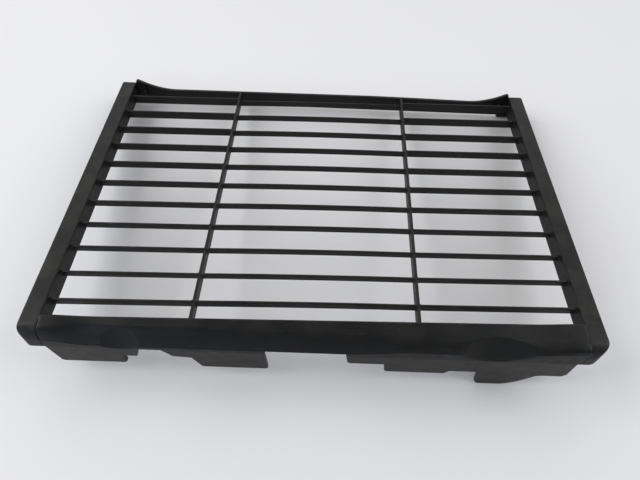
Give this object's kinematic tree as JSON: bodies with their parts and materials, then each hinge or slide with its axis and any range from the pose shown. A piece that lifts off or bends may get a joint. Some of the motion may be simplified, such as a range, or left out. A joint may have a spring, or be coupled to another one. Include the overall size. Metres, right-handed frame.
{
  "type": "louvred air intake grille",
  "caption": "Rectangular black plastic louvred grille with thin slats, two cross ribs, flat side rails, a rolled front edge with finger scallops, a clip skirt and a rear wall with upswept ends.",
  "frame": {"origin": "on the floor plane under the centre of the frame; the lowest skirt edge, the foot of the right-hand tab, is at height zero", "axes": "+X along the slats to the right as seen from the skirted front edge, +Y from the skirted front edge to the upright rear wall, +Z out of the grille's face"},
  "size_m": [0.33, 0.23, 0.0506],
  "materials": {
    "frame_plastic": "satin moulded black polypropylene, side rails, lip and rear wall",
    "nose_plastic": "satin moulded black polypropylene, the smoothly rolled nose",
    "skirt_plastic": "satin moulded black polypropylene, skirt and clip tabs",
    "slat_plastic": "satin moulded black polypropylene, slats and ribs"
  },
  "bodies": {
    "root": {"side_rail_left": "frame_plastic", "side_rail_right": "frame_plastic", "front_lip": "frame_plastic", "rear_wall": "frame_plastic", "rear_corner_tab": "frame_plastic", "front_nose": "nose_plastic", "skirt_outer_left": "skirt_plastic", "skirt_inner_left": "skirt_plastic", "skirt_inner_right": "skirt_plastic", "skirt_foot_right": "skirt_plastic", "rib_left": "slat_plastic", "rib_right": "slat_plastic", "slat_11_left": "slat_plastic", "slat_11_middle": "slat_plastic", "slat_11_right": "slat_plastic", "slat_10_left": "slat_plastic", "slat_10_middle": "slat_plastic", "slat_10_right": "slat_plastic", "slat_09_left": "slat_plastic", "slat_09_middle": "slat_plastic", "slat_09_right": "slat_plastic", "slat_08_left": "slat_plastic", "slat_08_middle": "slat_plastic", "slat_08_right": "slat_plastic", "slat_07_left": "slat_plastic", "slat_07_middle": "slat_plastic", "slat_07_right": "slat_plastic", "slat_06_left": "slat_plastic", "slat_06_middle": "slat_plastic", "slat_06_right": "slat_plastic", "slat_05_left": "slat_plastic", "slat_05_middle": "slat_plastic", "slat_05_right": "slat_plastic", "slat_04_left": "slat_plastic", "slat_04_middle": "slat_plastic", "slat_04_right": "slat_plastic", "slat_03_left": "slat_plastic", "slat_03_middle": "slat_plastic", "slat_03_right": "slat_plastic", "slat_02_left": "slat_plastic", "slat_02_middle": "slat_plastic", "slat_02_right": "slat_plastic", "slat_01_left": "slat_plastic", "slat_01_middle": "slat_plastic", "slat_01_right": "slat_plastic"}
  },
  "joints": []
}
